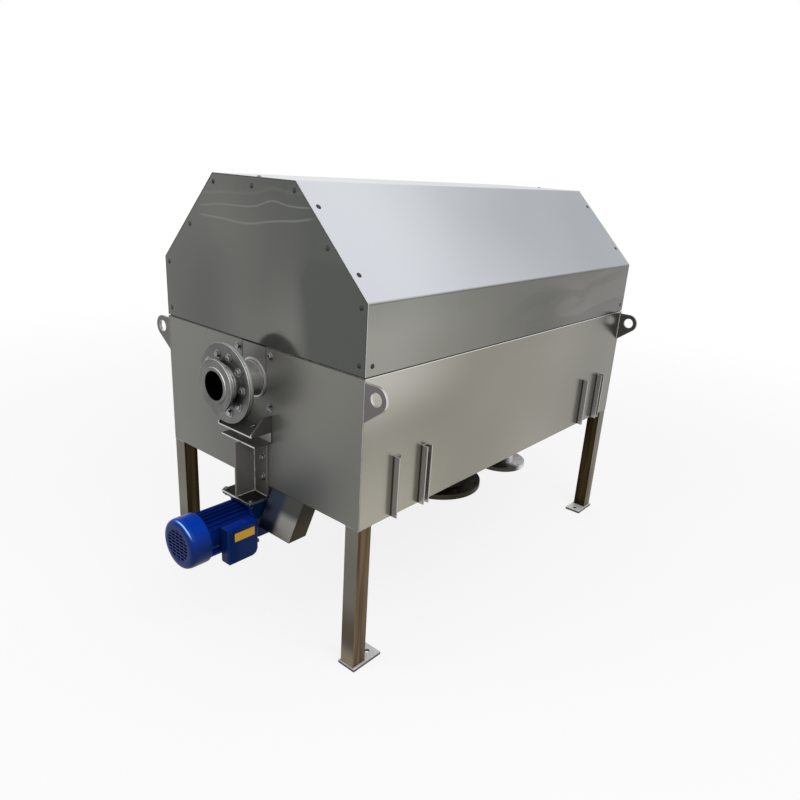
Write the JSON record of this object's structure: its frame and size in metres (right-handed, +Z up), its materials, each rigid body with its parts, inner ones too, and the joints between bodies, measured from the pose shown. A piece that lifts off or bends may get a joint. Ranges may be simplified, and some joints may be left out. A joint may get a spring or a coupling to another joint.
{
  "type": "rotary drum screen",
  "caption": "Rotary drum screen with a flanged axial feed, a chain drive by a hung gearmotor, a faceted hood, a solids chute and bottom outlets, on tube legs.",
  "frame": {"origin": "on the floor, at the centre of the four anchor holes", "axes": "+X from the drive and feed end to the far end along the drum axis, +Z up, +Y to the side without outlets"},
  "size_m": [2.182, 1.224, 1.598],
  "materials": {
    "tank_sheet": "2B stainless sheet",
    "hood_sheet": "mirror-like stainless sheet",
    "stainless_part": "machined stainless",
    "leg_tube": "pickled stainless tube",
    "screen": "slotted stainless screen",
    "hardware": "bright fasteners",
    "dark_flange": "dark pickled flange",
    "motor_blue": "gloss blue enamel",
    "gearbox_blue": "dark blue enamel on castings",
    "black_plastic": "black moulding",
    "chain_steel": "oiled steel",
    "bronze": "plain bearing bronze",
    "rubber": "flat gasket strip"
  },
  "bodies": {
    "tank": {"tank_front_wall": "tank_sheet", "tank_rear_wall": "tank_sheet", "tank_left_wall": "tank_sheet", "tank_right_wall": "tank_sheet", "tank_floor": "tank_sheet", "tank_rim": "tank_sheet", "front_notch_cover": "tank_sheet", "rear_notch_cover": "tank_sheet", "discharge_partition": "tank_sheet", "discharge_slides": "tank_sheet", "chain_guard": "tank_sheet", "discharge_chute": "tank_sheet", "cleats": "tank_sheet", "hollow_axle": "stainless_part", "inlet_spool": "stainless_part", "axle_holder": "stainless_part", "shelf_bracket": "stainless_part", "motor_post": "stainless_part", "motor_plate": "stainless_part", "lifting_lugs": "stainless_part", "drain_outlet": "stainless_part", "spray_pipe": "stainless_part", "spray_socket": "stainless_part", "spray_strap": "stainless_part", "pipe_flange": "stainless_part", "rear_bearing": "stainless_part", "legs": "leg_tube", "foot_plates": "leg_tube", "flange_bolts": "hardware", "frame_bolts": "hardware", "small_bolts": "hardware", "spray_nozzles": "hardware", "filtrate_outlet": "dark_flange", "motor_housing": "motor_blue", "fan_cowl": "motor_blue", "terminal_box": "motor_blue", "terminal_lid": "motor_blue", "gearbox_housing": "gearbox_blue", "cable_gland": "black_plastic", "drive_chain": "chain_steel", "rear_bush": "bronze", "rim_gasket": "rubber"},
    "drum": {"drum_screen": "screen", "drum_hoops": "screen", "drum_flight": "stainless_part", "drum_spider": "stainless_part", "drum_hub": "stainless_part", "hub_bush": "bronze", "drum_sprocket": "chain_steel", "rear_head": "stainless_part", "rear_shaft": "stainless_part"},
    "output": {"output_shaft": "chain_steel", "drive_sprocket": "chain_steel"},
    "fan": {"motor_fan": "black_plastic"},
    "hood": {"hood_wrap": "hood_sheet", "hood_front_plate": "hood_sheet", "hood_rear_plate": "hood_sheet", "hood_frames": "hood_sheet", "hood_screws": "hardware"}
  },
  "joints": [
    {"name": "drum_spin", "type": "hinge", "parent": "tank", "child": "drum", "pos_m": [0, 0, 0.939], "axis": [-1, 0, 0], "continuous": true, "deforming": ["drive_chain"]},
    {"name": "output_spin", "type": "hinge", "parent": "tank", "child": "output", "pos_m": [-0.825, 0, 0.40782], "axis": [-1, 0, 0], "continuous": true},
    {"name": "fan_spin", "type": "hinge", "parent": "tank", "child": "fan", "pos_m": [-1.18, 0, 0.40782], "axis": [-1, 0, 0], "continuous": true},
    {"name": "hood_lift", "type": "slide", "parent": "tank", "child": "hood", "axis": [0, 0, 1], "range_m": [0, 0.42]}
  ],
  "couplings": [
    {"joint": "output_spin", "follows": "drum_spin", "ratio": 2},
    {"joint": "fan_spin", "follows": "drum_spin", "ratio": 116}
  ]
}
